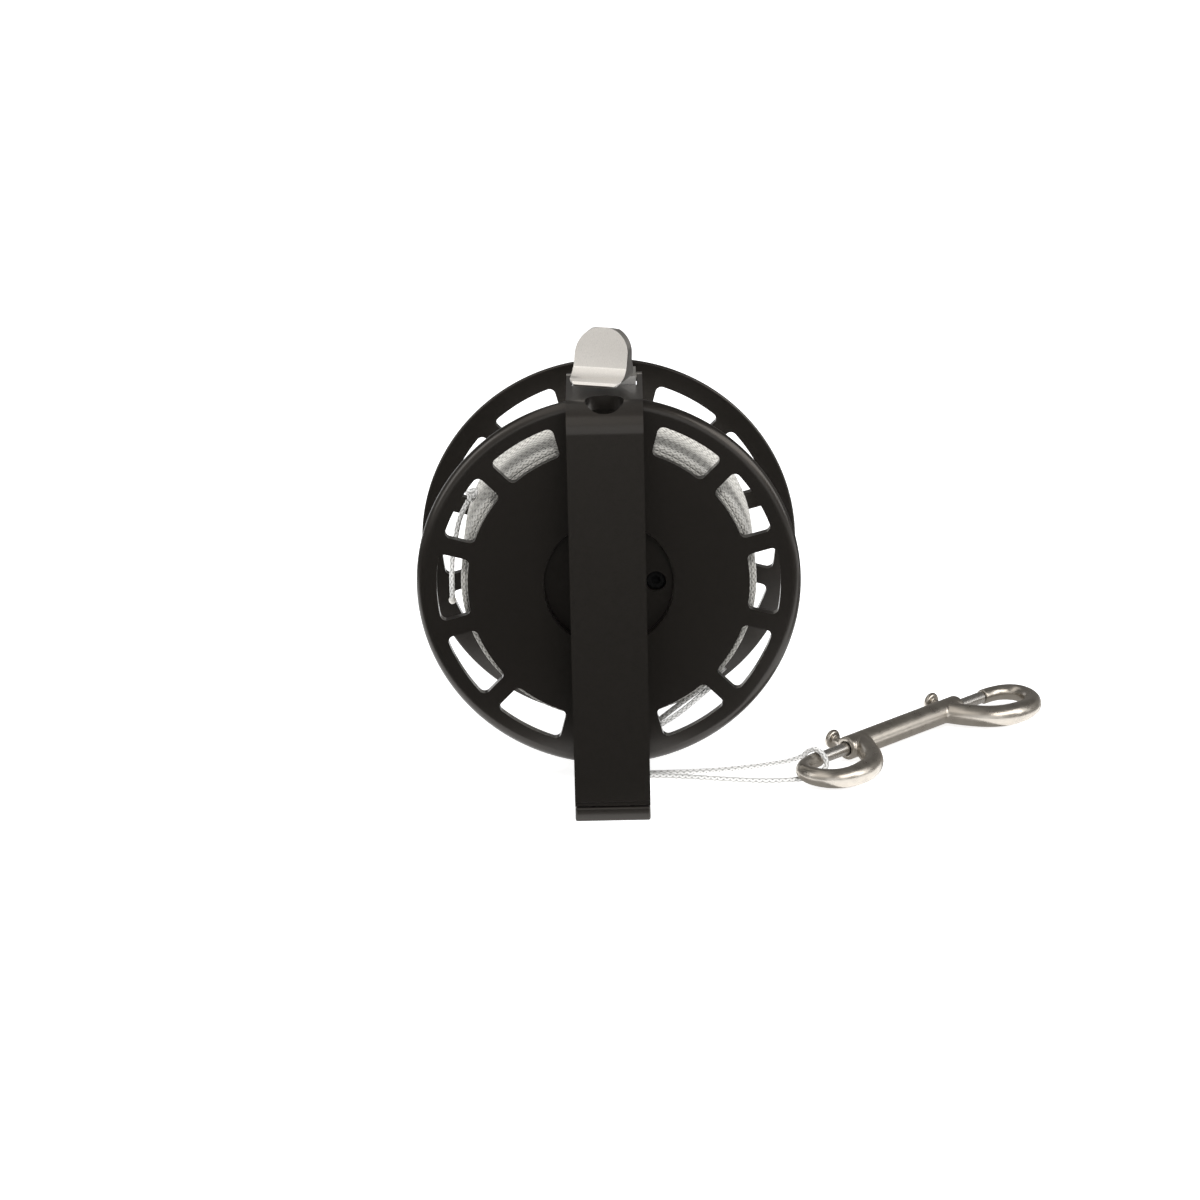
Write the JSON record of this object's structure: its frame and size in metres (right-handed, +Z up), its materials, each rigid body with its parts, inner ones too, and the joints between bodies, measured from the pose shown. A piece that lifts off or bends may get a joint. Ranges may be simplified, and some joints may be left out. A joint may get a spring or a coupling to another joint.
{
  "type": "dive reel",
  "caption": "Open-spool dive reel with a bent strap grip, a steel thumb brake, windowed black flanges, white line and a double-ended steel snap.",
  "frame": {"origin": "on the standing surface, under the middle of the reel without its line and snap", "axes": "+Z up from the foot arm to the thumb lever; +Y from the strap grip to the winding knob; +X to the right as the user looks at the strap, which is the side the snap lies on"},
  "size_m": [0.2343, 0.1268, 0.1765],
  "materials": {
    "black_anodised": "satin black anodised",
    "stainless": "satin polished",
    "black_plastic": "matte",
    "bronze": "machined",
    "brake_rubber": "matte",
    "white_line": "braided"
  },
  "bodies": {
    "frame": {"grip_strap": "black_anodised", "inner_plate": "black_anodised", "foot_arm": "black_anodised", "strap_screw_1": "stainless", "strap_screw_2": "stainless", "plate_foot_screw_1": "stainless", "plate_foot_screw_2": "stainless", "plate_top_screw_1": "stainless", "plate_top_screw_2": "stainless", "line_guide": "stainless", "axle": "stainless", "axle_front_screw": "stainless", "axle_rear_screw": "stainless", "drag_washer": "bronze", "lever_pin": "stainless", "lever_spring": "stainless", "line_loop": "white_line", "snap_body": "stainless", "snap_spring_left": "stainless", "snap_spring_right": "stainless"},
    "spool": {"front_flange": "black_anodised", "rear_flange": "black_anodised", "spool_core": "black_anodised", "front_bush": "black_plastic", "rear_bush": "black_plastic", "front_flange_screw_1": "stainless", "front_flange_screw_2": "stainless", "front_flange_screw_3": "stainless", "rear_flange_screw_1": "stainless", "rear_flange_screw_2": "stainless", "rear_flange_screw_3": "stainless", "knob_screw": "stainless", "knob_collar": "stainless", "line_core": "white_line", "line_winding": "white_line", "line_knot": "white_line", "line_tail": "white_line"},
    "winding_knob": {"winding_knob": "black_plastic"},
    "tension_knob": {"tension_knob": "black_plastic"},
    "thumb_lever": {"thumb_lever": "stainless", "brake_shoe": "brake_rubber"},
    "snap_gate_left": {"snap_gate_left": "stainless", "snap_stud_left": "stainless"},
    "snap_gate_right": {"snap_gate_right": "stainless", "snap_stud_right": "stainless"}
  },
  "joints": [
    {"name": "spool_spin", "type": "hinge", "parent": "frame", "child": "spool", "pos_m": [0, -0.0254, 0.0775], "axis": [0, 1, 0], "continuous": true},
    {"name": "knob_spin", "type": "hinge", "parent": "spool", "child": "winding_knob", "pos_m": [0, -0.0254, 0.0365], "axis": [0, 1, 0], "continuous": true},
    {"name": "tension_turn", "type": "hinge", "parent": "frame", "child": "tension_knob", "pos_m": [0, -0.0254, 0.0775], "axis": [0, 1, 0], "range_deg": [-180, 180]},
    {"name": "lever_press", "type": "hinge", "parent": "frame", "child": "thumb_lever", "pos_m": [0, -0.0192, 0.1537], "axis": [1, 0, 0], "range_deg": [0, 4], "stiffness_Nm_per_rad": 0.8, "springref_deg": -2.86, "deforming": ["lever_spring"]},
    {"name": "gate_slide_left", "type": "slide", "parent": "frame", "child": "snap_gate_left", "axis": [0.7071, 0.7071, 0], "range_m": [0, 0.01], "stiffness_N_per_m": 150, "springref_m": -0.003, "deforming": ["snap_spring_left"]},
    {"name": "gate_slide_right", "type": "slide", "parent": "frame", "child": "snap_gate_right", "axis": [-0.7071, -0.7071, 0], "range_m": [0, 0.01], "stiffness_N_per_m": 150, "springref_m": -0.003, "deforming": ["snap_spring_right"]}
  ]
}
